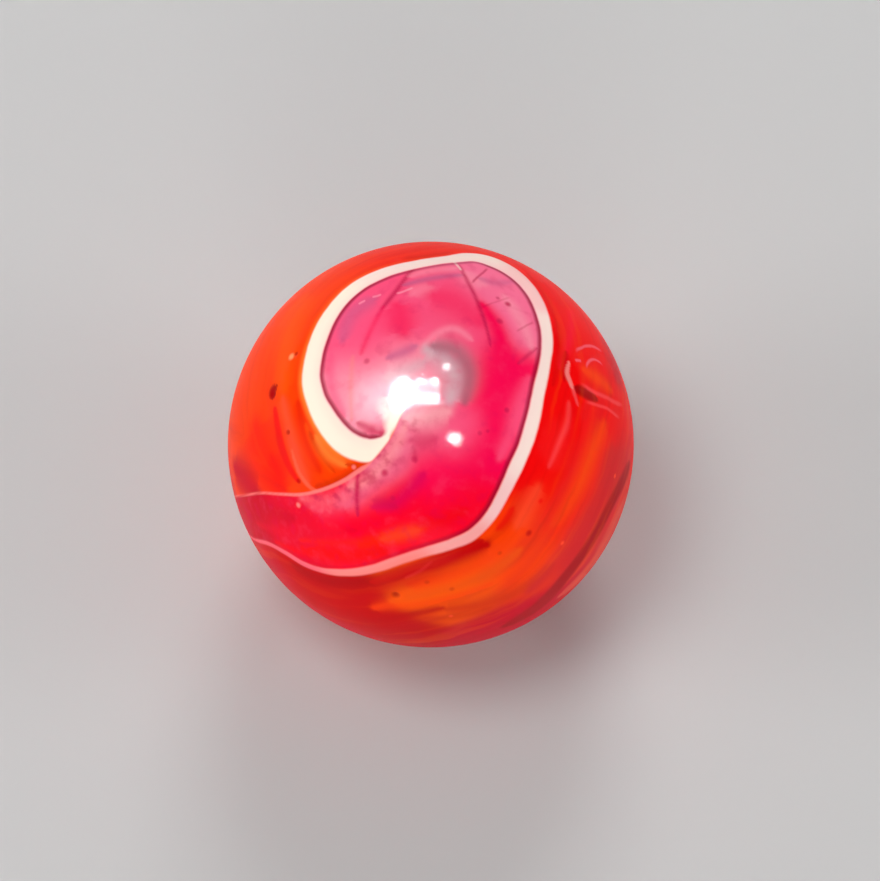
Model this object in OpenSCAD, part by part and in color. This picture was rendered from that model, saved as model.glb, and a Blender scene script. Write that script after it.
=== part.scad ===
// Glass swirl marble: one solid ball of glass, with its centre at the origin.
// A white ribbon curls round a pink patch on its face, which looks up and towards -Y.
// The coloured glass runs deep into the ball, and all of it is fused into the one solid.

/* [Ball] */
// Diameter of the ball
ball_d = 16; // [12:0.5:35]

/* [Swirl] */
// Elevation of the swirl's face above the front, in degrees
face_elevation = 65; // [30:5:90]
// Width of the ribbon where it is widest, on a ball of 16 mm
ribbon_w = 1; // [0.6:0.1:1.2]

/* [Hidden] */
$fn = 160;

// Colours of the glass
red_glass = [0.90, 0.10, 0.03];
orange_glass = [1.00, 0.30, 0.00];
pink_glass = [0.98, 0.12, 0.36];
white_glass = [1.00, 0.93, 0.88];

// The swirl is drawn flat, in mm, for a ball of this diameter, and scaled to the ball
drawn_d = 16;

// Middle of the ribbon from the heart of the swirl to the edge: x, y and share of the full width
ribbon = [
    [-0.6, 2.1, 0.2], [-1.6, 0.5, 0.4], [-2.4, -0.2, 1], [-3.4, 0.1, 1], [-4.3, 1.2, 0.9], [-4.7, 2.6, 0.75],
    [-4.3, 4.4, 0.6], [-3.2, 6, 0.5], [-1.4, 6.9, 0.4], [1.4, 7.4, 0.35], [3.2, 6.8, 0.4], [4.2, 5.6, 0.45],
    [4.6, 4, 0.5], [4.3, 2.2, 0.55], [3.7, 0, 0.6], [2.8, -2.1, 0.5], [1.6, -3.6, 0.45], [-0.3, -4.3, 0.4],
    [-2.2, -4.9, 0.35], [-3.7, -5, 0.25], [-5.2, -4.6, 0.15], [-7.4, -3.3, 0.1],
];
// The ribbon's point at the top of the face, up to which the glass outside it is orange
crest = 9;
// Pale seam between the pink patch and the orange glass, given in the same way
seam = [
    [-0.6, 2.1, 0.1], [-1.5, 0.3, 0.15], [-2.4, -0.7, 0.2], [-3.4, -1.4, 0.2], [-4.5, -1.9, 0.15],
    [-6, -2, 0.1], [-8, -2.1, 0.1],
];
// Steps of a smooth curve between two of its points
curve_steps = 3;

// Point of the smooth curve through p, at the share t of the way from point i to the next
function curve(p, i, t) =
    let (a = p[max(i - 1, 0)], b = p[i], c = p[i + 1], d = p[min(i + 2, len(p) - 1)])
    (2 * b + (c - a) * t + (2 * a - 5 * b + 4 * c - d) * t ^ 2 + (3 * b - a - 3 * c + d) * t ^ 3) / 2;

// Points of the smooth curve through p, up to its point last
function smooth(p, last) =
    [for (i = [0 : last - 1]) for (k = [0 : curve_steps - 1]) curve(p, i, k / curve_steps), p[last]];

// Direction across the path p at its point i, to the left of travel
function across(p, i) =
    let (d = p[min(i + 1, len(p) - 1)] - p[max(i - 1, 0)]) [-d.y, d.x] / norm([d.x, d.y]);

// One edge of a stripe along p: side is 1 to the left of travel and -1 to the right
function edge(p, side) =
    [for (i = [0 : len(p) - 1]) [p[i].x, p[i].y] + side * p[i].z * ribbon_w / 2 * across(p, i)];

function middle(p) = [for (place = p) [place.x, place.y]];

function reversed(p) = [for (i = [len(p) - 1 : -1 : 0]) p[i]];

ribbon_path = smooth(ribbon, len(ribbon) - 1);
seam_path = smooth(seam, len(seam) - 1);

module stripe(path) {
    polygon(concat(edge(path, 1), reversed(edge(path, -1))));
}

module pale_lines() {
    stripe(ribbon_path);
    stripe(seam_path);
}

module pink_patch() {
    polygon(concat(middle(ribbon_path), reversed(middle(seam_path))));
}

// Crescent between the ribbon, the seam and the ball's edge
module orange_crescent() {
    reach = drawn_d / 2;
    corners = [[ribbon[crest].x, reach], [-reach, reach]];
    polygon(concat(middle(smooth(ribbon, crest)), corners, reversed(middle(seam_path))));
}

module ball() {
    sphere(d = ball_d);
}

// Flat shapes on the swirl's face, run down through the ball
module run_down() {
    rotate([90 - face_elevation, 0, 0])
        linear_extrude(ball_d)
            scale(ball_d / drawn_d)
                children();
}

// The ball's glass under flat shapes on the swirl's face
module glass_under() {
    intersection() {
        ball();
        run_down() children();
    }
}

module marble() {
    color(white_glass) glass_under() pale_lines();
    color(pink_glass) glass_under() difference() {
        pink_patch();
        pale_lines();
    }
    color(orange_glass) glass_under() difference() {
        orange_crescent();
        pale_lines();
    }
    color(red_glass) difference() {
        ball();
        run_down() {
            pale_lines();
            pink_patch();
            orange_crescent();
        }
    }
}

marble();
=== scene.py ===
"""Looks of the glass marble: white, pink, orange and red glass swirled into one glossy ball."""
import math

import bpy
import numpy as np
from mathutils import Matrix, Vector
from mathutils.kdtree import KDTree


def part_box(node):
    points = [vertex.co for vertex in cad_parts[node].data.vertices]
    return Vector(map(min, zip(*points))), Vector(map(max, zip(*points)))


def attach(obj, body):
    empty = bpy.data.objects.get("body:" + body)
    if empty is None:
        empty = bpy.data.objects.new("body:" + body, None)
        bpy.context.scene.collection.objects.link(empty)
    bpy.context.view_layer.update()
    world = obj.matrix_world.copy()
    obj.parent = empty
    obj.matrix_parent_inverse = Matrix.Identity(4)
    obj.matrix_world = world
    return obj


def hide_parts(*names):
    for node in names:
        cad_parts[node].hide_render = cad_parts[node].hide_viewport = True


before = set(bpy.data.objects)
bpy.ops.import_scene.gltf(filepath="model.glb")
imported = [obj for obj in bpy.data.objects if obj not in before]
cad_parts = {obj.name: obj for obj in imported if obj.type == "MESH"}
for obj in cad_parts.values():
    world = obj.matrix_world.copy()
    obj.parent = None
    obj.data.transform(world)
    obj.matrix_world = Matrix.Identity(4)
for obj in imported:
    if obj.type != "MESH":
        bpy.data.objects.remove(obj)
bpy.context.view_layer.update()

# Sizes in metres
MM = 0.001
ball_low, ball_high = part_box("marble")
BALL_R = (ball_high[2] - ball_low[2]) / 2
FLOOR_SIZE = 4.0

# Where the picture shows the ball, in pixels of its 880 x 881 frame
PICTURE_W = 880
PICTURE_H = 881
BALL_X = 430.8
BALL_Y = 444.5
BALL_PX = 203.0
PX_MM = BALL_R / MM / BALL_PX

# The swirl's face looks up and towards -Y, at the camera
CAMERA_ELEVATION = math.radians(65)
CAMERA_DISTANCE = 0.30
CLIP_START = 0.01
FACE_RIGHT = np.array([1.0, 0.0, 0.0])
FACE_UP = np.array([0.0, math.sin(CAMERA_ELEVATION), math.cos(CAMERA_ELEVATION)])
FACE_OUT = np.array([0.0, -math.cos(CAMERA_ELEVATION), math.sin(CAMERA_ELEVATION)])

# Mesh of the ball: cells along a cube's edge, and how much finer the face is than an even ball
CELLS = 128
FACE_GRADING = 1.7
# Digits to which two vertices agree where the cube's sides meet
SAME_DIGITS = 7

# Colours of the glass, 0 to 255 as a screen shows them
CREAM = (252, 237, 217)
BLUSH = (254, 226, 216)
ROSE_WHITE = (254, 198, 196)
SHELL_PINK = (254, 164, 160)
SALMON = (255, 134, 128)
FLAMINGO = (252, 96, 112)
PEACH = (255, 160, 108)
LIGHT_CORAL = (255, 112, 82)
CORAL = (255, 80, 46)
GOLD = (254, 132, 48)
BRIGHT_ORANGE = (255, 84, 6)
ORANGE = (255, 62, 0)
AMBER = (255, 90, 0)
VERMILION = (255, 30, 2)
SCARLET = (238, 36, 0)
RED = (248, 2, 4)
LIGHT_RED = (255, 70, 72)
DEEP_RED = (200, 0, 4)
CRIMSON = (204, 0, 34)
DARK_RED = (166, 0, 4)
GARNET = (170, 0, 14)
RUST = (218, 48, 2)
ROSE = (216, 36, 38)
CLAY = (224, 70, 58)
MAROON = (150, 12, 44)
PINK = (254, 82, 126)
ROSE_PINK = (238, 46, 82)
DUSTY_PINK = (240, 100, 134)
WARM_PINK = (252, 112, 150)
PALE_PINK = (255, 152, 172)
HOT_PINK = (252, 0, 78)
RED_PINK = (254, 0, 40)
RASPBERRY = (232, 0, 40)
MAGENTA = (216, 0, 88)
DEEP_PINK = (204, 16, 72)
MAUVE = (206, 92, 136)
# Greys of a painted reflection beside the highlight, laid into the pink glass
REFLECTED_GREY = (168, 90, 108)
PALE_REFLECTED_GREY = (212, 178, 186)

# White ribbon from the heart of the swirl to the limb: picture x, y and half width, in pixels
RIBBON = [
    (418, 388, 3), (406, 401, 9), (398, 414, 10), (391.5, 425, 7.5), (388.5, 434, 3.8), (383, 443, 7.5),
    (371, 450, 12), (359, 449, 12.6), (346, 443, 12.8), (334, 431.5, 12.4), (324, 417, 11.6),
    (316, 401, 10.4), (311, 380, 9.5), (314, 355, 8.6), (322.5, 329, 7.8), (338, 304, 6.6), (359, 285, 5.8),
    (386, 272, 5), (420, 263.5, 4.2), (450, 259, 4), (471, 257, 4.2), (490, 260.5, 4.6), (508, 269, 5),
    (524, 282, 5.4), (537, 300, 5.8), (545, 322, 6), (547.5, 343, 6), (545, 365, 6), (540, 388, 6.6),
    (534.5, 415, 7), (526, 445, 7.2), (514, 472, 7), (502, 497, 6.3), (490, 517, 6), (472, 535, 6),
    (451, 544.5, 5.6), (425, 552, 5), (400, 560, 5), (375, 568.5, 4.7), (350, 572.5, 4.1), (325, 571, 3),
    (304, 564, 2.4), (285, 552.5, 2.1), (268, 543.5, 1.9),
]
# Its tail behind the limb: azimuth on the face and tilt from its middle, in degrees, and half width in mm
RIBBON_TAIL = [(-152, 80, 0.08), (-156, 94, 0.05), (-162, 106, 0)]
# Points of the ribbon that lie along the hook, where the seam cuts the ribbon off
HOOK_POINTS = 10
# Point of the ribbon past which its half width falls below nothing, and how far it falls, in mm
FADE_START = len(RIBBON) + 1.5
RIBBON_FADE = 0.2

# Seam between the pink arm and the orange glass above it, from the heart of the swirl to the limb
SEAM = [
    (418, 388), (407, 406), (400, 418), (392, 436), (381, 451), (370, 463), (357, 472), (345, 480),
    (330, 487), (316, 491.5), (300, 494.5), (280, 494), (262, 493), (246, 495),
]
SEAM_TAIL = [(-165, 84), (-164, 96), (-162, 106)]
# Half width of the pale line along the seam, in pixels
SEAM_HALF = 2.3
# The seam's point where that line starts, and the share by which it thins from point to point
SEAM_START = 4.6
SEAM_THINNING = 0.07

# How strongly dust clouds the pink glass along the seam, as (point of the seam, strength)
DUST_BAND = [(0, 0), (2, 0.8), (4, 1), (8, 1), (10, 0.5), (12, 0)]

# Steps of a smooth path between two of its points
PATH_STEPS = 40

# How softly the ribbon's edges fade, in mm, along the ribbon's points
SOFT_EDGE = [(0, 0.3), (3, 0.2), (4.5, 0.06), (50, 0.06)]
# The dark line along the ribbon's inner edge, as (point of the ribbon, strength)
DARK_EDGE = [
    (0, 0), (4, 0), (5, 1), (16, 1), (18, 0.6), (20, 0.6), (21, 1), (33, 1), (37, 0.35), (39, 0.15), (50, 0),
]
# The golden rim along the ribbon's outer edge, in the same way
GOLD_EDGE = [(0, 0), (7, 0), (8, 0.8), (9, 1), (12, 0.9), (14, 0.5), (17, 0.25), (20, 0), (50, 0)]

# Pools of colour in the glass: colour, picture x and y of the pool's middle, and its spread in degrees
OUTER_POOLS = [
    (ORANGE, 256, 405, 20), (ORANGE, 275, 335, 17), (ORANGE, 330, 280, 12), (VERMILION, 385, 256, 11),
    (VERMILION, 450, 247, 11), (RED, 520, 262, 12), (RED, 575, 310, 15), (RED, 560, 400, 12),
    (RED, 615, 390, 12), (RED, 550, 465, 9), (VERMILION, 562, 508, 9), (ORANGE, 525, 550, 10),
    # Towards the lower left and bottom limb, the deep red and crimson pools are the glass's own deep red,
    # darkened further as painted shade; the rose pools by the lower right limb are a painted reflection of
    # the lit floor
    (AMBER, 450, 588, 9), (DEEP_RED, 352, 606, 7), (DEEP_RED, 320, 596, 8), (DEEP_RED, 288, 568, 6),
    (DEEP_RED, 400, 634, 8), (CRIMSON, 500, 628, 8), (ROSE, 585, 540, 7), (ROSE, 622, 470, 7),
]
# Pools behind the limb: azimuth on the face and tilt from its middle, in degrees, instead of x and y
OUTER_POOLS_BEHIND = [
    (VERMILION, 90, 110, 28), (ORANGE, 165, 120, 26), (RED, 20, 115, 28), (CRIMSON, -60, 110, 24),
    (CRIMSON, -169, 93, 8), (CRIMSON, -142, 98, 14), (CRIMSON, -112, 98, 14), (VERMILION, -120, 130, 24),
    (ORANGE, -20, 150, 26), (RED, 120, 155, 28),
]
PINK_POOLS = [
    (PINK, 430, 312, 10), (PINK, 380, 335, 9), (PINK, 345, 345, 8), (PALE_PINK, 345, 385, 8),
    (PALE_PINK, 400, 365, 7), (PINK, 460, 335, 7), (WARM_PINK, 505, 288, 8), (WARM_PINK, 528, 335, 5),
    (HOT_PINK, 505, 380, 10), (PINK, 525, 410, 5), (DUSTY_PINK, 425, 425, 7), (DUSTY_PINK, 390, 455, 5),
    (PINK, 455, 430, 6), (HOT_PINK, 440, 470, 7), (HOT_PINK, 490, 455, 7), (RED_PINK, 470, 510, 9),
    (RED_PINK, 400, 515, 8), (RED_PINK, 350, 535, 8), (RASPBERRY, 298, 530, 8), (CRIMSON, 250, 512, 8),
]
PINK_POOLS_BEHIND = [(CRIMSON, -162, 95, 12)]
RIBBON_POOLS = [
    (CREAM, 330, 425, 14), (CREAM, 311, 380, 12), (CREAM, 360, 449, 8), (CREAM, 330, 315, 9),
    (BLUSH, 400, 267, 9), (BLUSH, 470, 258, 7), (ROSE_WHITE, 522, 280, 6), (BLUSH, 540, 390, 12),
    (BLUSH, 520, 455, 7), (ROSE_WHITE, 502, 495, 6), (SHELL_PINK, 458, 542, 7), (SALMON, 400, 560, 7),
    (SALMON, 350, 572, 7), (FLAMINGO, 292, 557, 9),
]
RIBBON_POOLS_BEHIND = [(FLAMINGO, -156, 90, 14)]

# Soft strokes in the glass: colour, half width in pixels, strength, and picture points along the stroke
OUTER_STROKES = [
    (BRIGHT_ORANGE, 11, 0.7, [(302, 300), (287, 340), (284, 390)]),
    (VERMILION, 19, 0.95, [(256, 428), (264, 458), (278, 488)]),
    (RED, 9, 0.7, [(272, 458), (279, 474), (284, 489)]),
    (CORAL, 6, 0.9, [(283, 398), (289, 430), (297, 458), (308, 484)]),
    (SCARLET, 6, 0.9, [(298, 402), (302, 425), (309, 446), (320, 471)]),
    (BRIGHT_ORANGE, 3, 0.7, [(306, 424), (315, 448), (332, 472)]),
    (RUST, 3.2, 0.65, [(310, 432), (319, 452), (335, 472)]),
    (GOLD, 5, 0.8, [(316, 436), (328, 455), (346, 466)]),
    (RUST, 4.4, 0.85, [(316, 487), (335, 481), (360, 468)]),
    (RUST, 2.6, 0.85, [(346, 464.5), (357, 464.5), (368, 463.5)]),
    (CRIMSON, 14, 0.95, [(235, 467), (245, 481), (258, 494)]),
    (CRIMSON, 8, 0.9, [(254, 547), (268, 560), (284, 574)]),
    (DARK_RED, 2.4, 0.2, [(405, 258), (428, 255.5), (450, 252.5)]),
    (DARK_RED, 3, 0.2, [(528, 274), (545, 296), (554, 318)]),
    (DARK_RED, 4, 0.25, [(556, 320), (559, 350), (553, 385)]),
    (RED_PINK, 5, 0.9, [(571, 310), (571, 332), (566, 350), (560, 368)]),
    (DEEP_RED, 4, 0.7, [(566, 352), (564, 366), (565, 380)]),
    (LIGHT_RED, 3, 0.7, [(569, 402), (567.5, 422), (560, 441), (549, 467)]),
    (ORANGE, 9, 0.9, [(604, 424), (594, 450), (578, 489), (554, 524)]),
    (CRIMSON, 8, 0.9, [(608, 348), (615, 362), (617, 378)]),
    (CORAL, 11, 0.6, [(518, 526), (528, 508), (538, 488)]),
    (RED, 5, 0.8, [(498, 529), (507, 519), (513, 508)]),
    (RED, 6, 0.8, [(520, 488), (530, 468), (539, 440)]),
    (ORANGE, 12, 0.85, [(410, 584), (470, 570), (520, 536)]),
    (ORANGE, 7, 0.8, [(374, 608), (400, 603), (440, 599), (490, 584)]),
    (AMBER, 7, 0.9, [(392, 601), (440, 592), (490, 573), (520, 550)]),
    (RUST, 7, 0.8, [(446, 609), (490, 602), (524, 588), (552, 566)]),
    (DEEP_RED, 12, 1, [(320, 594), (372, 587), (408, 574), (444, 561), (486, 544)]),
    (DARK_RED, 7, 0.75, [(294, 566), (326, 580), (366, 581), (408, 570)]),
    (RUST, 4, 0.7, [(425, 618), (455, 617), (490, 608)]),
    (DEEP_RED, 4.6, 0.85, [(376, 620), (408, 615), (442, 608)]),
    # Painted reflection of the lit floor: a rosy band inside the lower right limb
    (ROSE, 9, 0.75, [(612, 450), (600, 492), (572, 540), (530, 590)]),
    (CRIMSON, 7, 0.8, [(450, 632), (500, 624), (545, 604)]),
    (ORANGE, 6, 0.9, [(584, 370), (597, 378), (611, 390)]),
]
# Strokes with clear edges, drawn over the soft ones
OUTER_BANDS = [
    (DARK_RED, 3.4, 0.95, [(276.5, 386), (273, 391), (272.5, 398)]),
    (RED, 3.6, 0.9, [(275, 408), (278, 428), (281.5, 446), (288, 464), (298, 481)]),
    (LIGHT_CORAL, 2, 0.6, [(292, 450), (299, 472), (310, 487), (318, 491)]),
    (DEEP_RED, 6, 0.9, [(372, 582), (406, 571), (438, 560), (462, 550), (482, 541)]),
    (ROSE, 1.8, 0.8, [(405, 578), (420, 571), (432, 561)]),
    # Along the lower right limb: a rosy rim, a painted reflection of the lit floor, and a dark garnet
    # stripe, the glass's own dark red with a painted reflection of the ball's shadow
    (CLAY, 3, 0.9, [(630, 484), (616, 522), (594, 562), (562, 594)]),
    (GARNET, 4.6, 1, [
        (628.5, 467), (617, 492.5), (603, 520), (571.5, 569.5), (555.5, 589.5), (534, 609.5), (507, 625),
    ]),
    (DARK_RED, 5.4, 0.95, [(576, 388), (586, 393), (597, 399)]),
    (LIGHT_RED, 2, 0.9, [(571, 381), (574, 391), (578, 405)]),
    (SALMON, 2.6, 0.9, [(569.5, 362), (567.5, 372), (570, 380), (573, 388)]),
]
PINK_STROKES = [
    (MAUVE, 9, 0.6, [(343, 340), (351, 315), (374, 299)]),
    (HOT_PINK, 19, 0.7, [(396, 306), (404, 332)]),
    (DEEP_PINK, 2.6, 0.85, [(413, 269), (397, 290), (382, 309)]),
    (HOT_PINK, 3, 0.6, [(384, 306), (371, 330), (361, 354)]),
    (PALE_PINK, 8, 0.4, [(412, 294), (420, 290), (430, 288)]),
    (MAUVE, 3, 0.8, [(404, 285), (430, 278.5), (462, 275)]),
    (PALE_PINK, 4, 0.5, [(410, 276), (432, 270), (456, 268)]),
    (HOT_PINK, 17, 0.55, [(434, 296), (456, 304), (478, 322)]),
    (PALE_PINK, 4.4, 0.5, [(424, 346), (438, 333), (456, 329), (472, 340)]),
    (HOT_PINK, 9, 1, [(482, 304), (497, 328), (505, 352)]),
    (PALE_PINK, 7, 0.5, [(466, 272), (474, 280), (484, 284)]),
    (PALE_PINK, 6, 0.6, [(504, 296), (521, 320), (532, 348)]),
    (DEEP_PINK, 2.2, 0.8, [(459, 265), (467, 280), (476, 298), (485, 322), (491, 346)]),
    (MAUVE, 3.4, 0.5, [(479, 278), (496, 283), (514, 281)]),
    (DEEP_PINK, 2.2, 0.6, [(518, 364), (527, 356), (537, 348)]),
    (HOT_PINK, 13, 0.7, [(497, 345), (505, 385), (496, 430)]),
    (PINK, 9, 0.7, [(529, 378), (518, 420), (500, 458)]),
    (MAUVE, 6, 0.7, [(388, 358), (402, 353), (416, 346)]),
    # Pale pink beside the highlight: the glass's own pale pink, with a painted glow of the highlight
    (PALE_PINK, 10, 0.6, [(390, 366), (410, 371), (424, 380)]),
    # Painted reflection: a grey-mauve patch beside the highlight, laid into the pink glass
    (PALE_REFLECTED_GREY, 9, 0.5, [(386, 378), (406, 371), (424, 362)]),
    (PALE_REFLECTED_GREY, 17, 0.85, [(428, 350), (448, 360), (456, 380), (450, 400)]),
    (REFLECTED_GREY, 10, 0.75, [(434, 346), (455, 351), (469, 371), (465, 402)]),
    # Painted glow of the highlight: paler pink just below it
    (ROSE_WHITE, 13, 0.45, [(408, 418), (428, 416), (448, 412)]),
    (ROSE_PINK, 14, 0.75, [(362, 490), (338, 505), (316, 508)]),
    (DUSTY_PINK, 16, 0.8, [(407, 438), (389, 464), (365, 488), (340, 502)]),
    (SHELL_PINK, 8, 0.45, [(405, 427), (391, 454), (369, 478), (350, 487)]),
    (FLAMINGO, 9, 0.6, [(350, 496), (328, 501), (303, 499)]),
    (DEEP_PINK, 8, 0.45, [(412, 440), (424, 442), (436, 438)]),
    (DEEP_PINK, 3.4, 0.5, [(413, 446), (415, 454), (416, 462)]),
    (MAGENTA, 9, 0.6, [(374, 507), (394, 503), (410, 490), (424, 474)]),
    (DEEP_PINK, 6, 0.4, [(374, 500), (384, 502), (396, 507)]),
    (DEEP_PINK, 2.6, 0.85, [(358, 474), (357, 492), (358, 516)]),
    (CRIMSON, 12, 0.7, [(238, 506), (262, 510), (292, 518)]),
    (RASPBERRY, 6, 0.6, [(258, 524), (310, 534), (356, 530)]),
    (VERMILION, 4, 0.5, [(300, 540), (345, 543), (396, 533)]),
    (RED, 4, 0.6, [(276, 542), (330, 557), (384, 552)]),
    (VERMILION, 9, 0.9, [(360, 546), (392, 538), (424, 528)]),
    (CORAL, 7, 0.45, [(382, 539), (402, 534), (420, 529)]),
    (RED, 9, 0.85, [(304, 549), (345, 554), (390, 551)]),
    (RED, 8, 0.6, [(418, 525), (440, 520), (466, 510)]),
    # Pale pink and blush beside the highlight: the glass's own pale pink, with a painted glow of the
    # highlight
    (PALE_PINK, 14, 0.8, [(362, 386), (368, 408)]),
    (BLUSH, 10, 0.9, [(392, 398), (386, 416)]),
    (PINK, 7, 0.6, [(331, 355), (332, 390), (344, 416)]),
    (SALMON, 3, 0.5, [(353, 356), (351, 390), (352, 420)]),
    (DEEP_PINK, 5, 0.75, [(358, 423), (371, 428.5), (385, 434)]),
]
# Steps of a stroke's path between two of its points
STROKE_STEPS = 12
# Width of a stroke at its ends, as a share of its full width
STROKE_TAPER = 0.4
# Half widths from its path within which a stroke still shows
STROKE_REACH = 2.5
# How steeply a stroke falls off at its sides
SOFT = 2
CLEAR = 6

# How strongly the streaks of the outer glass show: strength from 0 to 1, then as for the pools
STREAK_POOLS = [
    (0.5, 265, 380, 25), (0.45, 330, 280, 12), (0.45, 430, 250, 14), (0.5, 570, 330, 16),
    (0.7, 580, 430, 12), (0.9, 540, 530, 14), (0.7, 440, 590, 14), (0.3, 330, 600, 14),
]
STREAK_POOLS_BEHIND = [(0.8, 0, 120, 40), (0.7, 180, 120, 40), (0.8, 90, 130, 40), (0.8, -90, 130, 40)]

# Thin lines in the glass: colour, three picture points along the line, half width in pixels, strength
LINES = [
    (FLAMINGO, (575, 351.5), (588.5, 346), (603, 352), 1.9, 0.9),
    (FLAMINGO, (575, 360.5), (578, 359.5), (581.5, 360.5), 1.9, 1),
    (FLAMINGO, (601, 363), (592.5, 359.5), (586.5, 369), 1.9, 0.9),
    (LIGHT_RED, (579, 383), (606, 397.5), (622, 405), 2.6, 0.9),
    (LIGHT_RED, (584, 402), (605, 408), (620, 418), 2.2, 0.8),
    (DEEP_PINK, (486, 270), (480, 275), (471, 284), 1.8, 0.6),
    (DEEP_PINK, (488, 305), (496, 302), (512, 297), 1.6, 0.25),
    (DEEP_PINK, (519, 330), (525, 326), (534, 321), 1.6, 0.35),
    (BLUSH, (453, 261), (457, 265), (462, 271), 1.8, 0.6),
    (PALE_PINK, (399, 292.5), (405, 290.5), (414, 287), 2, 0.7),
    (PALE_PINK, (372, 297), (377, 296), (382, 294), 2, 0.6),
    (PALE_PINK, (359, 304), (362, 302), (366, 300), 2, 0.6),
]

# Small specks and bubbles: colour, picture x and y, radius in pixels, strength
SPECKS = [
    (PEACH, 291.5, 356.5, 4.6, 0.9), (DEEP_PINK, 508, 304, 4.2, 0.8), (DEEP_PINK, 500, 321, 4.4, 0.6),
    (DEEP_PINK, 498, 298, 2.8, 0.5), (DEEP_PINK, 367, 361, 4, 0.5), (DEEP_PINK, 507, 410, 3.4, 0.6),
    (DEEP_PINK, 385, 473, 4.4, 0.7), (DEEP_PINK, 393, 498, 3.4, 0.5),
    (DEEP_PINK, 414.5, 459, 4, 0.5), (DEEP_PINK, 480, 433, 3, 0.4), (DEEP_PINK, 488, 431, 2.4, 0.4),
    (DEEP_PINK, 316, 497, 3.4, 0.4), (SALMON, 298.5, 505, 3.4, 0.9), (SALMON, 354, 467, 3, 0.7),
    (RUST, 427, 582, 3.4, 0.8), (RUST, 452, 589, 3.4, 0.6), (DEEP_RED, 487.5, 545.5, 4, 0.8),
    (RUST, 500, 553, 3, 0.6), (DEEP_RED, 529, 533, 4.2, 0.8), (RED, 541, 501, 3.6, 0.8),
    (CORAL, 562.5, 543, 3, 0.9), (CORAL, 615, 476, 3, 0.9), (CORAL, 451, 616, 3, 0.7),
    (DEEP_RED, 299, 481, 3.6, 0.8),
]

# Pits in the surface: picture x and y, radius in pixels, depth in mm
PITS = [
    (296, 353.5, 2.8, 0.05), (273, 394, 4.6, 0.06), (288, 432, 3.4, 0.05), (396, 595, 5, 0.06),
]
# The fold mark's creases: picture points along each, half width in pixels and depth in mm
CREASES = [
    ([(577, 356), (589, 349), (604, 355)], 3.2, 0.035), ([(572, 366), (573, 378), (580, 402)], 3.4, 0.045),
    ([(580, 388), (600, 397), (622, 409)], 3.4, 0.035),
]
# How strongly a pit is darkened, as painted shade inside it
PIT_SHADE = 0.7

# Where a line or a speck is full and where it ends, as shares of its half width or radius
LINE_SIDES = (0.1, 1.3)
SPECK_SIDES = (0.2, 1.2)
# Share of the rise in cosine, from a line's end to its middle, at which the line is full
LINE_GROWTH = 0.6

# Waves that bend the lines in the glass: scale, detail and mean of their noise
WAVE_SCALE = 9.0
WAVE_DETAIL = 3.0
WAVE_MEAN = 0.5
# How far the lines and the streaks follow the waves, in mm
LINE_WOBBLE = 0.16
STREAK_WOBBLE = 0.3
# Share of the lines' wobble that the ribbon takes
RIBBON_WOBBLE = 0.4
# Share of the ribbon's wobble that its cut along the seam takes
CUT_WOBBLE = 0.5

# Streaks of the outer glass: colour, scale, pace across the flow, noise at their start and full, strength
STREAKS = [
    (CRIMSON, 1.3, 0.8, 0.52, 0.3, 0.25), (BRIGHT_ORANGE, 1.6, 1.7, 0.5, 0.75, 0.3),
    (DARK_RED, 1.6, 1.7, 0.48, 0.25, 0.2),
]
STREAK_DETAIL = 1.0

# Mottling of the pink glass: colour, noise where it starts and is full, strength
MOTTLES = [(PINK, 0.5, 0.8, 0.16), (MAGENTA, 0.5, 0.25, 0.2)]
MOTTLE_SCALE = 13.0
MOTTLE_DETAIL = 3.0
# Dust in the pink glass, in the same way
DUST = [(DEEP_PINK, 0.45, 0.75, 0.6), (PALE_PINK, 0.5, 0.2, 0.3)]
DUST_SCALE = 17.0
DUST_DETAIL = 2.0
# Distances from the seam, in mm, at which the dust ends and is full
DUST_REACH = (1.4, 0.4)

# Distances past the ribbon's edge, in mm, at which its dark line and its golden rim start and are full
DARK_LINE_INNER = (-0.06, 0.05)
DARK_LINE_OUTER = (0.26, 0.05)
GOLD_RIM = (0.3, -0.05)
# How far inwards of the soft edge's two ends the white glass starts and is full, in mm
WHITE_START = 0.02
WHITE_FULL = 0.04
# Distances past the seam, in mm, at which the hook of the ribbon and its dark line are cut off and are full
WHITE_CUT = (0.05, -0.07)
DARK_LINE_CUT = (0.02, -0.05)
# A distance wider than the ball, in mm, that keeps the rest of the ribbon clear of that cut
FAR = 100.0
# Distances across the ribbon, in mm, over which it turns rosy towards its inner side
ROSY_SIDE = (0.1, -0.5)
# Half widths, in mm, of the blur between the ribbon's sides, and at the edges of the pink patch and the seam
SIDE_BLUR = 0.02
EDGE_BLUR = 0.05
# Strengths of the seam's pale line, of the dark line and of the rosy side
SEAM_STRENGTH = 0.8
DARK_LINE_STRENGTH = 0.85
ROSY_STRENGTH = 0.3

# Gloss of the glass
GLOSS = 0.25
GLOSS_ROUGHNESS = 0.08
GLASS_IOR = 1.5
# Ripples in the gloss: scale and detail of their noise, strength, and depth in metres
RIPPLE_SCALE = 40.0
RIPPLE_DETAIL = 3.0
RIPPLE_STRENGTH = 0.05
RIPPLE_DEPTH = 0.0001

# Stage: brightness of the floor and of the light from all sides, and distance of the lamps in metres
FLOOR_GREY = 0.58
WORLD_LIGHT = 0.2
LAMP_DISTANCE = 0.42
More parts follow.
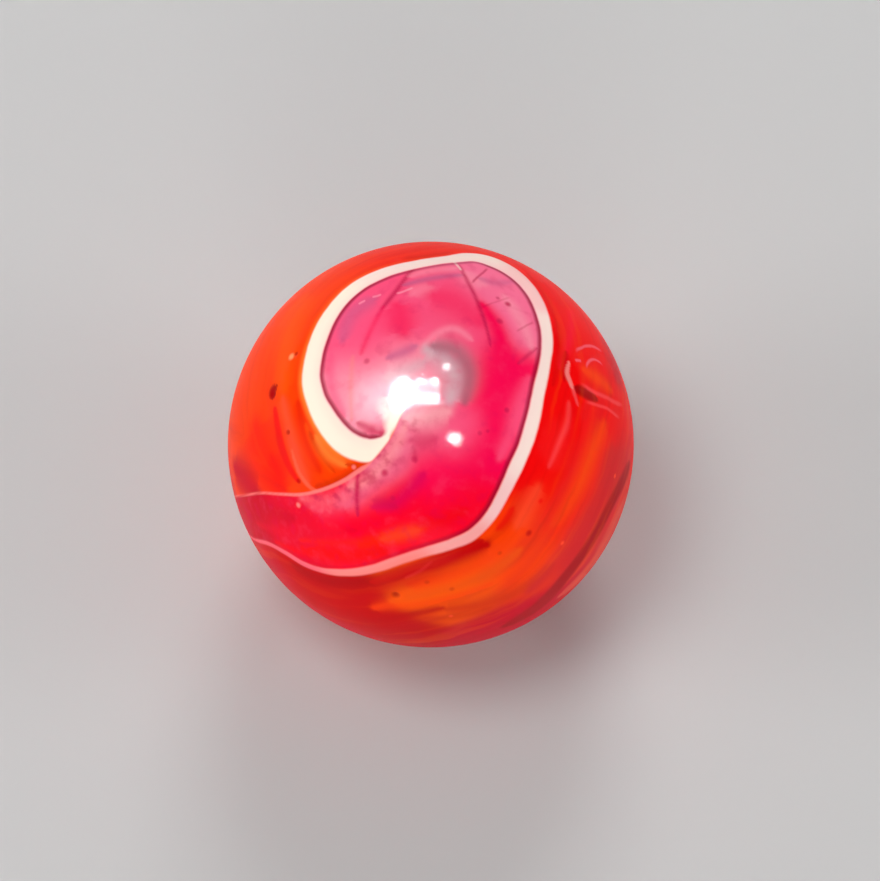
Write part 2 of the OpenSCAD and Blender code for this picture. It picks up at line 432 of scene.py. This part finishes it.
# Lamps mirrored in the glass: shape, picture pixel where each shows, width and height in pixels, brightness
GLINTS = [
    ("window_left", "ELLIPSE", (403, 393), 24, 32, 130.0),
    ("window_right", "RECTANGLE", (427, 390), 24, 22, 50.0),
    ("panes_low", "RECTANGLE", (428, 399), 25, 9, 90.0),
    ("pane_one", "ELLIPSE", (421.8, 380.2), 7, 6, 110.0),
    ("pane_two", "ELLIPSE", (434.2, 380), 8, 6, 110.0),
    ("spark", "ELLIPSE", (446.5, 366.5), 4, 6, 140.0),
    ("bulb", "ELLIPSE", (455, 438.5), 13, 10, 130.0),
]
# Lamp whose mirrored patch fades out towards its edge, as the rows above
GLOW = ("window_glow", "ELLIPSE", (390, 397), 110, 86, 30.0)
# Soft lamps that light the ball: azimuth on the face, tilt from its middle in degrees, share of full light
SOFT_LAMPS = [
    ("key", 130, 25, 0.34), ("left", 180, 75, 0.46), ("right", 0, 75, 0.36), ("back", 85, 75, 0.38),
    ("front", -90, 57, 0.42),
]
SOFT_LAMP_SIZE = 0.18

# Weight of a pool far outside its spread, so that every point gets a colour
FAR_WEIGHT = 1e-6
# Least depth on the flat map, so that nothing is divided by zero right behind the face
LEAST_DEPTH = 1e-6


def linear(colour):
    """Screen colour from 0 to 255 as the light values that a shader takes, by the sRGB formula."""
    share = np.asarray(colour, float) / 255
    low = share / 12.92
    high = ((share + 0.055) / 1.055) ** 2.4
    return np.where(share <= 0.04045, low, high)


def turned(azimuth, tilt):
    """Direction from the ball's centre at an azimuth on the face and a tilt from its middle, in radians."""
    sideways = math.cos(azimuth) * FACE_RIGHT + math.sin(azimuth) * FACE_UP
    return math.cos(tilt) * FACE_OUT + math.sin(tilt) * sideways


def hidden(azimuth, tilt):
    """Direction of a point given by its angles in degrees, also behind the limb."""
    return turned(math.radians(azimuth), math.radians(tilt))


def seen(x, y):
    """Direction of the point of the ball that the picture shows at a pixel."""
    across = (x - BALL_X) / BALL_PX
    up = (BALL_Y - y) / BALL_PX
    limb_slope = math.tan(math.asin(BALL_R / CAMERA_DISTANCE))
    ray = math.atan(math.hypot(across, up) * limb_slope)
    sine = min(1.0, CAMERA_DISTANCE * math.sin(ray) / BALL_R)
    return turned(math.atan2(up, across), math.asin(sine) - ray)


def cube_sphere(cells):
    """Even directions over a ball and the quads between them, from a cube blown up round."""
    angles = np.linspace(-math.pi / 4, math.pi / 4, cells + 1)
    a, b = np.meshgrid(np.tan(angles), np.tan(angles), indexing="ij")
    corner = np.arange(cells * (cells + 1)).reshape(cells, cells + 1)[:, :cells].ravel()
    quad = np.stack([corner, corner + cells + 1, corner + cells + 2, corner + 1], axis=1)
    points = []
    quads = []
    for axis in range(3):
        for sign in (1, -1):
            grid = np.empty((a.size, 3))
            grid[:, axis] = sign
            grid[:, (axis + 1) % 3] = a.ravel() * sign
            grid[:, (axis + 2) % 3] = b.ravel()
            quads.append(quad + len(points) * a.size)
            points.append(grid)
    points = np.concatenate(points)
    points /= np.linalg.norm(points, axis=1)[:, None]
    rounded = np.round(points, SAME_DIGITS)
    _, first, same = np.unique(rounded, axis=0, return_index=True, return_inverse=True)
    return points[first], same.ravel()[np.concatenate(quads)]


def graded(points, grading):
    """Pulls directions towards +Z, so that the cells there are finer and stay square."""
    reach = np.hypot(points[:, 0], points[:, 1])
    tilt = np.arctan2(reach, points[:, 2])
    new_tilt = 2 * np.arctan(np.tan(tilt / 2) / grading)
    swing = np.arctan2(points[:, 1], points[:, 0])
    aside = np.sin(new_tilt)
    return np.stack([aside * np.cos(swing), aside * np.sin(swing), np.cos(new_tilt)], axis=1)


def smooth_path(rows, steps):
    """Rows of a smooth curve through the given rows, whose first three numbers are a direction."""
    rows = np.asarray(rows, float)
    ends = np.concatenate([rows[:1], rows, rows[-1:]])
    before, start, stop, after = ends[:-3], ends[1:-2], ends[2:-1], ends[3:]
    out = []
    for t in np.linspace(0, 1, steps, endpoint=False):
        bend = 2 * before - 5 * start + 4 * stop - after
        twist = 3 * start - before - 3 * stop + after
        out.append((2 * start + (stop - before) * t + bend * t ** 2 + twist * t ** 3) / 2)
    path = np.stack(out, axis=1).reshape(-1, rows.shape[1])
    path = np.concatenate([path, rows[-1:]])
    path[:, :3] /= np.linalg.norm(path[:, :3], axis=1)[:, None]
    return path


def nearest(directions, path):
    """The path's row nearest to each direction, and the distance to it in mm, positive left of travel."""
    tree = KDTree(len(path))
    for i, row in enumerate(path):
        tree.insert(row[:3], i)
    tree.balance()
    index = np.array([tree.find(d)[1] for d in directions])
    ahead = path[np.minimum(np.arange(len(path)) + 1, len(path) - 1), :3]
    behind = path[np.maximum(np.arange(len(path)) - 1, 0), :3]
    side = np.cross(path[:, :3], ahead - behind)
    side /= np.linalg.norm(side, axis=1)[:, None]
    gap = directions - path[index, :3]
    across = np.einsum("ij,ij->i", gap, side[index])
    at_end = (index == 0) | (index == len(path) - 1)
    across = np.where(at_end, np.sign(across) * np.linalg.norm(gap, axis=1), across)
    return index, across * BALL_R / MM


def flat_map(directions):
    """Places on a flat map of the ball, seen along the face's axis, that shows its back too."""
    x = directions @ FACE_RIGHT
    y = directions @ FACE_UP
    depth = 1 + directions @ FACE_OUT
    return np.stack([x, y], axis=1) / np.maximum(depth, LEAST_DEPTH)[:, None]


def inside(directions, outline):
    """Whether each direction lies within a closed outline of directions."""
    places = flat_map(directions)
    corners = flat_map(outline)
    result = np.zeros(len(places), bool)
    for (x0, y0), (x1, y1) in zip(corners, np.roll(corners, -1, axis=0)):
        spans = (y0 > places[:, 1]) != (y1 > places[:, 1])
        if not spans.any():
            continue
        cross_x = x0 + (places[:, 1] - y0) * (x1 - x0) / (y1 - y0)
        result ^= spans & (places[:, 0] < cross_x)
    return result


def make_ball():
    """Ball with its pits and creases, and the direction of each of its vertices."""
    points, quads = cube_sphere(CELLS)
    local = graded(points, FACE_GRADING)
    directions = local @ np.stack([FACE_RIGHT, FACE_UP, FACE_OUT])
    mesh = bpy.data.meshes.new("marble_glass")
    radius = BALL_R - sunk(directions)[:, None] * MM
    mesh.from_pydata((directions * radius).tolist(), [], quads.tolist())
    mesh.shade_smooth()
    piece = bpy.data.objects.new("marble_glass", mesh)
    bpy.context.collection.objects.link(piece)
    return piece, directions


def pool_rows(pools, pools_behind):
    """Middle, spread and value of each pool of colour or of strength."""
    rows = [(seen(x, y), math.radians(spread), value) for value, x, y, spread in pools]
    rows += [
        (hidden(azimuth, tilt), math.radians(spread), value)
        for value, azimuth, tilt, spread in pools_behind
    ]
    return rows


def blended(directions, rows):
    """Value at each direction, blended from the pools by how near they are."""
    total = 0
    weights = 0
    for middle, spread, value in rows:
        angle = np.arccos(np.clip(directions @ middle, -1, 1))
        weight = np.exp(-(angle / spread) ** 2) + FAR_WEIGHT * np.exp(-angle)
        total = total + weight[:, None] * np.atleast_1d(value)
        weights = weights + weight[:, None]
    return total / weights


def colour_rows(pools, pools_behind):
    """Rows of pools of colour, with the colours as light values."""
    return [(middle, spread, linear(value)) for middle, spread, value in pool_rows(pools, pools_behind)]


def store(mesh, name, values):
    """Keeps a number or a colour for each vertex, for the material to read."""
    values = np.asarray(values, np.float32)
    if values.ndim == 1:
        attribute = mesh.attributes.new(name, "FLOAT", "POINT")
        attribute.data.foreach_set("value", values)
        return
    attribute = mesh.attributes.new(name, "FLOAT_COLOR", "POINT")
    solid = np.ones((len(values), 4), np.float32)
    solid[:, :3] = values
    attribute.data.foreach_set("color", solid.ravel())


def true_halves(rows):
    """Half widths on the ball, in mm, of rows of picture x, y and half width in pixels across a path."""
    places = np.array([(x, y) for x, y, _ in rows], float)
    along = np.gradient(places, axis=0)
    along /= np.linalg.norm(along, axis=1)[:, None]
    result = []
    for (x, y, half), (dx, dy) in zip(rows, along):
        run = seen(x + dx, y + dy) - seen(x - dx, y - dy)
        run /= np.linalg.norm(run)
        span = (seen(x - dy * half, y + dx * half) - seen(x + dy * half, y - dx * half)) / 2
        result.append(np.linalg.norm(span - (span @ run) * run) * BALL_R / MM)
    return result


def picture_path(rows):
    """Rows of direction and half width in mm, from rows of picture x, y and half width in pixels."""
    return [(*seen(x, y), half) for (x, y, _), half in zip(rows, true_halves(rows))]


def stroke_share(directions, half, points, falloff):
    """Share from 0 to 1 by which a stroke through picture points covers each direction."""
    path = smooth_path(picture_path([(x, y, half) for x, y in points]), STROKE_STEPS)
    middle = path[:, :3].mean(axis=0)
    extent = np.linalg.norm(path[:, :3] - middle, axis=1).max()
    reach = extent + STROKE_REACH * path[:, 3].max() * MM / BALL_R
    near = np.flatnonzero(np.linalg.norm(directions - middle, axis=1) < reach)
    gaps = np.linalg.norm(directions[near, None] - path[None, :, :3], axis=2) * BALL_R / MM
    step = gaps.argmin(axis=1)
    fullness = np.sqrt(np.sin(math.pi * step / (len(path) - 1)))
    width = path[step, 3] * (STROKE_TAPER + (1 - STROKE_TAPER) * fullness)
    share = np.zeros(len(directions))
    share[near] = np.exp(-(gaps.min(axis=1) / width) ** falloff)
    return share


def painted(directions, colours, strokes, falloff):
    """Colours with strokes laid over them in turn."""
    for colour, half, strength, points in strokes:
        share = strength * stroke_share(directions, half, points, falloff)[:, None]
        colours = colours + share * (linear(colour) - colours)
    return colours


def swirl_paths():
    """Smooth paths of the ribbon and the seam, from the heart of the swirl to their ends behind the limb."""
    ribbon = picture_path(RIBBON)
    ribbon += [(*hidden(azimuth, tilt), half) for azimuth, tilt, half in RIBBON_TAIL]
    seam = [seen(x, y) for x, y in SEAM]
    seam += [hidden(azimuth, tilt) for azimuth, tilt in SEAM_TAIL]
    return smooth_path(ribbon, PATH_STEPS), smooth_path(seam, PATH_STEPS)


def store_edges(mesh, directions):
    """Keeps the distances to the ribbon and to the seam, and what changes along them."""
    ribbon, seam = swirl_paths()
    ribbon_index, ribbon_side = nearest(directions, ribbon)
    seam_index, seam_side = nearest(directions, seam)
    outline = np.concatenate([ribbon[:, :3], seam[::-1, :3]])
    pink_edge = np.minimum(np.abs(ribbon_side), np.abs(seam_side))
    run = ribbon_index / PATH_STEPS
    seam_run = seam_index / PATH_STEPS
    past_start = seam_run - SEAM_START
    seam_half = SEAM_HALF * (1 - SEAM_THINNING * past_start) * np.clip(past_start, 0, 1)
    store(mesh, "ribbon_side", ribbon_side)
    store(mesh, "ribbon_gap", np.abs(ribbon_side))
    store(mesh, "ribbon_half", ribbon[ribbon_index, 3] - RIBBON_FADE * (run > FADE_START))
    store(mesh, "hook", run < HOOK_POINTS)
    store(mesh, "dust", np.interp(seam_run, *zip(*DUST_BAND)))
    store(mesh, "soft_edge", np.interp(run, *zip(*SOFT_EDGE)))
    store(mesh, "dark_edge", np.interp(run, *zip(*DARK_EDGE)))
    store(mesh, "gold_edge", np.interp(run, *zip(*GOLD_EDGE)))
    store(mesh, "seam_side", seam_side)
    store(mesh, "seam_gap", np.abs(seam_side))
    store(mesh, "seam_half", np.maximum(seam_half, 0) * PX_MM)
    store(mesh, "pink_side", np.where(inside(directions, outline), pink_edge, -pink_edge))


def store_colours(mesh, directions):
    """Keeps the colours of the three kinds of glass, and how strongly the outer one is streaked."""
    outer = blended(directions, colour_rows(OUTER_POOLS, OUTER_POOLS_BEHIND))
    outer = painted(directions, outer, OUTER_STROKES, SOFT)
    pink = blended(directions, colour_rows(PINK_POOLS, PINK_POOLS_BEHIND))
    store(mesh, "outer_glass", painted(directions, outer, OUTER_BANDS, CLEAR))
    store(mesh, "pink_glass", painted(directions, pink, PINK_STROKES, SOFT))
    store(mesh, "ribbon_glass", blended(directions, colour_rows(RIBBON_POOLS, RIBBON_POOLS_BEHIND)))
    store(mesh, "streaks", blended(directions, pool_rows(STREAK_POOLS, STREAK_POOLS_BEHIND))[:, 0])


def sunk(directions):
    """How far each vertex sinks into a pit or a crease, in mm."""
    depth = np.zeros(len(directions))
    for x, y, radius, deep in PITS:
        reach = np.linalg.norm(directions - seen(x, y), axis=1) * BALL_PX / radius
        depth = np.maximum(depth, deep * np.clip(1 - reach ** 2, 0, 1))
    for points, half, deep in CREASES:
        depth = np.maximum(depth, deep * stroke_share(directions, half, points, SOFT))
    return depth


class Graph:
    """Short calls that build a material's nodes."""

    def __init__(self, tree):
        self.tree = tree

    def node(self, kind, inputs=None, **settings):
        made = self.tree.nodes.new(kind)
        for name, value in settings.items():
            setattr(made, name, value)
        for key, value in (inputs or {}).items():
            self.feed(made.inputs[key], value)
        return made

    def feed(self, socket, value):
        if isinstance(value, bpy.types.NodeSocket):
            self.tree.links.new(value, socket)
        else:
            socket.default_value = value

    def math(self, operation, first, second=0.0):
        return self.node("ShaderNodeMath", {0: first, 1: second}, operation=operation).outputs[0]

    def vector(self, operation, first, second, output="Value"):
        return self.node("ShaderNodeVectorMath", {0: first, 1: second}, operation=operation).outputs[output]

    def step(self, value, low, high):
        """Rises smoothly from 0 at low to 1 at high."""
        made = self.node("ShaderNodeMapRange", {0: value, 1: low, 2: high}, interpolation_type="SMOOTHSTEP")
        return made.outputs[0]

    def mix(self, factor, first, second):
        inputs = {0: factor, 6: first, 7: second}
        return self.node("ShaderNodeMix", inputs, data_type="RGBA").outputs[2]

    def number(self, name):
        return self.node("ShaderNodeAttribute", attribute_name=name).outputs["Fac"]

    def colour(self, name):
        return self.node("ShaderNodeAttribute", attribute_name=name).outputs["Color"]

    def noise(self, place, scale, detail, along=None):
        inputs = {"Vector": place, "Scale": scale, "Detail": detail}
        if along is None:
            return self.node("ShaderNodeTexNoise", inputs, noise_dimensions="3D").outputs[0]
        inputs["W"] = along
        return self.node("ShaderNodeTexNoise", inputs, noise_dimensions="4D").outputs[0]


def rgba(colour):
    """Colour as a shader's socket takes it."""
    return (*linear(colour), 1.0)


def mark_group(name, vectors, numbers):
    """Empty node group with the given inputs and one output, for a kind of mark in the glass."""
    group = bpy.data.node_groups.new(name, "ShaderNodeTree")
    for socket in vectors:
        group.interface.new_socket(socket, in_out="INPUT", socket_type="NodeSocketVector")
    for socket in numbers:
        group.interface.new_socket(socket, in_out="INPUT", socket_type="NodeSocketFloat")
    group.interface.new_socket("Fac", in_out="OUTPUT", socket_type="NodeSocketFloat")
    graph = Graph(group)
    given = graph.node("NodeGroupInput").outputs
    return group, graph, given


def line_group():
    """Group that draws one thin line: an arc of a circle on the ball, thinning out towards its ends."""
    numbers = ["Level", "End", "Half", "Wobble"]
    group, g, given = mark_group("thin_line", ["Place", "Pole", "Middle"], numbers)
    height = g.vector("DOT_PRODUCT", given["Place"], given["Pole"])
    across = g.math("ADD", g.math("SUBTRACT", height, given["Level"]), given["Wobble"])
    along = g.vector("DOT_PRODUCT", given["Place"], given["Middle"])
    growth = g.math("MULTIPLY", g.math("SUBTRACT", 1.0, given["End"]), LINE_GROWTH)
    fade = g.step(along, given["End"], g.math("ADD", given["End"], growth))
    reach = g.math("DIVIDE", g.math("ABSOLUTE", across), given["Half"])
    body = g.math("SUBTRACT", 1.0, g.step(reach, *LINE_SIDES))
    g.node("NodeGroupOutput", {"Fac": g.math("MULTIPLY", body, fade)})
    return group


def speck_group():
    """Group that draws one round speck."""
    group, g, given = mark_group("speck", ["Place", "Middle"], ["Radius"])
    reach = g.math("DIVIDE", g.vector("DISTANCE", given["Place"], given["Middle"]), given["Radius"])
    g.node("NodeGroupOutput", {"Fac": g.math("SUBTRACT", 1.0, g.step(reach, *SPECK_SIDES))})
    return group


def arc(first, middle, last):
    """Pole, level, middle and end of the arc through three picture points, for the line group."""
    a, b, c = seen(*first), seen(*middle), seen(*last)
    pole = np.cross(b - a, c - b)
    pole /= np.linalg.norm(pole)
    level = pole @ b
    per_mm = BALL_R / MM / math.sqrt(1 - level ** 2)
    end = min(a @ b, c @ b)
    return pole * per_mm, level * per_mm, b, end


def add_mark(g, colour, group, inputs, tint, strength):
    """Colour with one mark of a group laid over it."""
    mark = g.node("ShaderNodeGroup", inputs, node_tree=group)
    return g.mix(g.math("MULTIPLY", mark.outputs[0], strength), colour, rgba(tint))


def draw_lines(g, colour, place, wobble):
    """Colour with the thin lines laid over it."""
    group = line_group()
    for tint, first, middle, last, half, strength in LINES:
        pole, level, centre, end = arc(first, middle, last)
        inputs = {
            "Place": place, "Pole": pole, "Middle": centre, "Level": level, "End": end,
            "Half": half * PX_MM, "Wobble": wobble,
        }
        colour = add_mark(g, colour, group, inputs, tint, strength)
    return colour


def draw_specks(g, colour, place):
    """Colour with the specks, and the painted shade of the pits, laid over it."""
    group = speck_group()
    pits = [(DARK_RED, x, y, radius, PIT_SHADE) for x, y, radius, _ in PITS]
    for tint, x, y, radius, strength in SPECKS + pits:
        inputs = {"Place": place, "Middle": seen(x, y), "Radius": radius / BALL_PX}
        colour = add_mark(g, colour, group, inputs, tint, strength)
    return colour


def outer_colour(g, place, flow):
    """Orange and red glass with soft streaks that run along the swirl."""
    amount = g.number("streaks")
    colour = g.colour("outer_glass")
    for tint, scale, pace, start, full, strength in STREAKS:
        noise = g.noise(place, scale, STREAK_DETAIL, g.math("MULTIPLY", flow, pace))
        share = g.math("MULTIPLY", g.step(noise, start, full), amount)
        colour = g.mix(g.math("MULTIPLY", share, strength), colour, rgba(tint))
    return colour


def pink_colour(g, place):
    """Pink glass with faint mottling, and a cloudy band of dust along the seam."""
    mottle = g.noise(place, MOTTLE_SCALE, MOTTLE_DETAIL)
    colour = g.colour("pink_glass")
    for tint, start, full, strength in MOTTLES:
        colour = g.mix(g.math("MULTIPLY", g.step(mottle, start, full), strength), colour, rgba(tint))
    cloud = g.noise(place, DUST_SCALE, DUST_DETAIL)
    band = g.math("MULTIPLY", g.step(g.number("seam_gap"), *DUST_REACH), g.number("dust"))
    for tint, start, full, strength in DUST:
        share = g.math("MULTIPLY", band, g.step(cloud, start, full))
        colour = g.mix(g.math("MULTIPLY", share, strength), colour, rgba(tint))
    return colour


def ribbon_parts(g, wobble):
    """Shares of the white ribbon, the dark line on its inner edge and the golden rim on its outer one."""
    side = g.number("ribbon_side")
    past_edge = g.math("SUBTRACT", g.math("ADD", g.number("ribbon_gap"), wobble), g.number("ribbon_half"))
    past_seam = g.math("ADD", g.number("seam_side"), g.math("MULTIPLY", wobble, CUT_WOBBLE))
    off_hook = g.math("SUBTRACT", 1.0, g.number("hook"))
    past_hook = g.math("SUBTRACT", past_seam, g.math("MULTIPLY", off_hook, FAR))
    soft = g.number("soft_edge")
    start = g.math("SUBTRACT", soft, WHITE_START)
    full = g.math("SUBTRACT", -WHITE_FULL, soft)
    white = g.math("MULTIPLY", g.step(past_edge, start, full), g.step(past_hook, *WHITE_CUT))
    line = g.math("MULTIPLY", g.step(past_edge, *DARK_LINE_INNER), g.step(past_edge, *DARK_LINE_OUTER))
    inner = g.math("MULTIPLY", g.step(side, SIDE_BLUR, -SIDE_BLUR), g.step(past_hook, *DARK_LINE_CUT))
    rim = g.math("MULTIPLY", g.step(past_edge, *GOLD_RIM), g.step(side, -SIDE_BLUR, SIDE_BLUR))
    dark = g.math("MULTIPLY", g.math("MULTIPLY", line, inner), g.number("dark_edge"))
    return white, dark, g.math("MULTIPLY", rim, g.number("gold_edge"))


def glass_colour(g):
    """Colour of the whole swirl, and the place on the ball from which its patterns are worked out."""
    place = g.vector("NORMALIZE", g.node("ShaderNodeTexCoord").outputs["Object"], (0, 0, 0), "Vector")
    wave = g.noise(place, WAVE_SCALE, WAVE_DETAIL)
    wobble = g.math("MULTIPLY", g.math("SUBTRACT", wave, WAVE_MEAN), LINE_WOBBLE)
    flow = g.math("ADD", g.number("ribbon_gap"), g.math("MULTIPLY", wave, STREAK_WOBBLE))
    pink = g.step(g.number("pink_side"), -EDGE_BLUR, EDGE_BLUR)
    colour = g.mix(pink, outer_colour(g, place, flow), pink_colour(g, place))
    colour = draw_lines(g, colour, place, wobble)
    colour = draw_specks(g, colour, place)
    past_line = g.math("SUBTRACT", g.number("seam_gap"), g.number("seam_half"))
    seam = g.step(past_line, EDGE_BLUR, -EDGE_BLUR)
    colour = g.mix(g.math("MULTIPLY", seam, SEAM_STRENGTH), colour, rgba(SALMON))
    white, dark_line, rim = ribbon_parts(g, g.math("MULTIPLY", wobble, RIBBON_WOBBLE))
    colour = g.mix(g.math("MULTIPLY", dark_line, DARK_LINE_STRENGTH), colour, rgba(MAROON))
    colour = g.mix(rim, colour, rgba(GOLD))
    rosy = g.math("MULTIPLY", g.step(g.number("ribbon_side"), *ROSY_SIDE), ROSY_STRENGTH)
    ribbon = g.mix(rosy, g.colour("ribbon_glass"), rgba(ROSE_WHITE))
    return g.mix(white, colour, ribbon), place


def make_material():
    """Opaque swirled glass under a clear gloss with faint ripples."""
    material = bpy.data.materials.new("swirl_glass")
    material.use_nodes = True
    g = Graph(material.node_tree)
    shader = material.node_tree.nodes["Principled BSDF"]
    colour, place = glass_colour(g)
    g.feed(shader.inputs["Base Color"], colour)
    shader.inputs["Specular IOR Level"].default_value = 0.0
    shader.inputs["Coat Weight"].default_value = GLOSS
    shader.inputs["Coat Roughness"].default_value = GLOSS_ROUGHNESS
    shader.inputs["Coat IOR"].default_value = GLASS_IOR
    ripples = g.noise(place, RIPPLE_SCALE, RIPPLE_DETAIL)
    inputs = {"Strength": RIPPLE_STRENGTH, "Distance": RIPPLE_DEPTH, "Height": ripples}
    bump = g.node("ShaderNodeBump", inputs)
    g.feed(shader.inputs["Coat Normal"], bump.outputs[0])
    return material


def make_floor():
    """Plain pale floor under the ball."""
    half = FLOOR_SIZE / 2
    corners = [(-half, -half, 0), (half, -half, 0), (half, half, 0), (-half, half, 0)]
    mesh = bpy.data.meshes.new("floor")
    mesh.from_pydata(corners, [], [(0, 1, 2, 3)])
    floor = bpy.data.objects.new("floor", mesh)
    floor.location.z = ball_low[2]
    bpy.context.collection.objects.link(floor)
    material = bpy.data.materials.new("floor_paper")
    material.use_nodes = True
    shader = material.node_tree.nodes["Principled BSDF"]
    shader.inputs["Base Color"].default_value = (FLOOR_GREY, FLOOR_GREY, FLOOR_GREY, 1)
    shader.inputs["Roughness"].default_value = 1.0
    shader.inputs["Specular IOR Level"].default_value = 0.0
    mesh.materials.append(material)


def make_lamp(name, shape, direction, size, power):
    """Area lamp that faces the ball from a direction, with its sides along the picture's sides."""
    lamp = bpy.data.lights.new(name, "AREA")
    lamp.shape = shape
    lamp.size, lamp.size_y = size
    lamp.energy = power
    holder = bpy.data.objects.new(name, lamp)
    right = Vector(np.cross(FACE_UP, direction)).normalized()
    up = Vector(direction).cross(right)
    turn = Matrix((right, up, Vector(direction))).transposed()
    holder.matrix_world = Matrix.Translation(Vector(direction * LAMP_DISTANCE)) @ turn.to_4x4()
    bpy.context.collection.objects.link(holder)
    return holder


def make_glint(name, shape, pixel, wide, high, brightness):
    """Lamp that only shows as a bright patch, mirrored in the glass at a pixel of the picture."""
    normal = seen(*pixel)
    direction = 2 * (normal @ FACE_OUT) * normal - FACE_OUT
    spread = 2 * LAMP_DISTANCE / BALL_PX
    size = (wide * spread, high * spread)
    holder = make_lamp(name, shape, direction, size, brightness * math.pi * size[0] * size[1])
    holder.visible_diffuse = False
    return holder.data


def fade_out(lamp):
    """Lets an area lamp, whose own places run from 0 to 1 each way, fade from its middle to its edge."""
    middle = (0.5, 0.5, 0.0)
    edge = 0.5
    lamp.use_nodes = True
    g = Graph(lamp.node_tree)
    place = g.node("ShaderNodeNewGeometry").outputs["Parametric"]
    reach = g.vector("DISTANCE", place, middle)
    g.feed(lamp.node_tree.nodes["Emission"].inputs["Strength"], g.step(reach, edge, 0.0))


def make_soft_lamp(name, azimuth, tilt, share):
    """Lamp that lights the ball evenly and isn't mirrored in it."""
    size = (SOFT_LAMP_SIZE, SOFT_LAMP_SIZE)
    power = share * (math.pi * LAMP_DISTANCE) ** 2
    holder = make_lamp(name, "ELLIPSE", hidden(azimuth, tilt), size, power)
    holder.visible_glossy = False


def make_world():
    """Even white light from all sides."""
    world = bpy.data.worlds.new("studio")
    world.use_nodes = True
    back = world.node_tree.nodes["Background"]
    back.inputs["Color"].default_value = (1, 1, 1, 1)
    back.inputs["Strength"].default_value = WORLD_LIGHT
    bpy.context.scene.world = world


def make_camera():
    """Camera that puts the ball at its place and size in the picture."""
    limb_slope = math.tan(math.asin(BALL_R / CAMERA_DISTANCE))
    slope_per_px = limb_slope / BALL_PX
    lens = bpy.data.cameras.new("camera")
    lens.sensor_fit = "HORIZONTAL"
    lens.lens = lens.sensor_width / (slope_per_px * PICTURE_W)
    lens.clip_start = CLIP_START
    camera = bpy.data.objects.new("camera", lens)
    right = (PICTURE_W / 2 - BALL_X) * slope_per_px * CAMERA_DISTANCE
    up = (BALL_Y - PICTURE_H / 2) * slope_per_px * CAMERA_DISTANCE
    camera.location = Vector(FACE_OUT * CAMERA_DISTANCE + FACE_RIGHT * right + FACE_UP * up)
    camera.rotation_euler = (math.pi / 2 - CAMERA_ELEVATION, 0, 0)
    bpy.context.collection.objects.link(camera)
    bpy.context.scene.camera = camera


make_camera()
make_floor()
make_world()
for glint in GLINTS:
    make_glint(*glint)
fade_out(make_glint(*GLOW))
for soft_lamp in SOFT_LAMPS:
    make_soft_lamp(*soft_lamp)
piece, directions = make_ball()
store_edges(piece.data, directions)
store_colours(piece.data, directions)
piece.data.materials.append(make_material())
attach(piece, "root")
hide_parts("marble")
bpy.context.scene.view_settings.view_transform = "Standard"
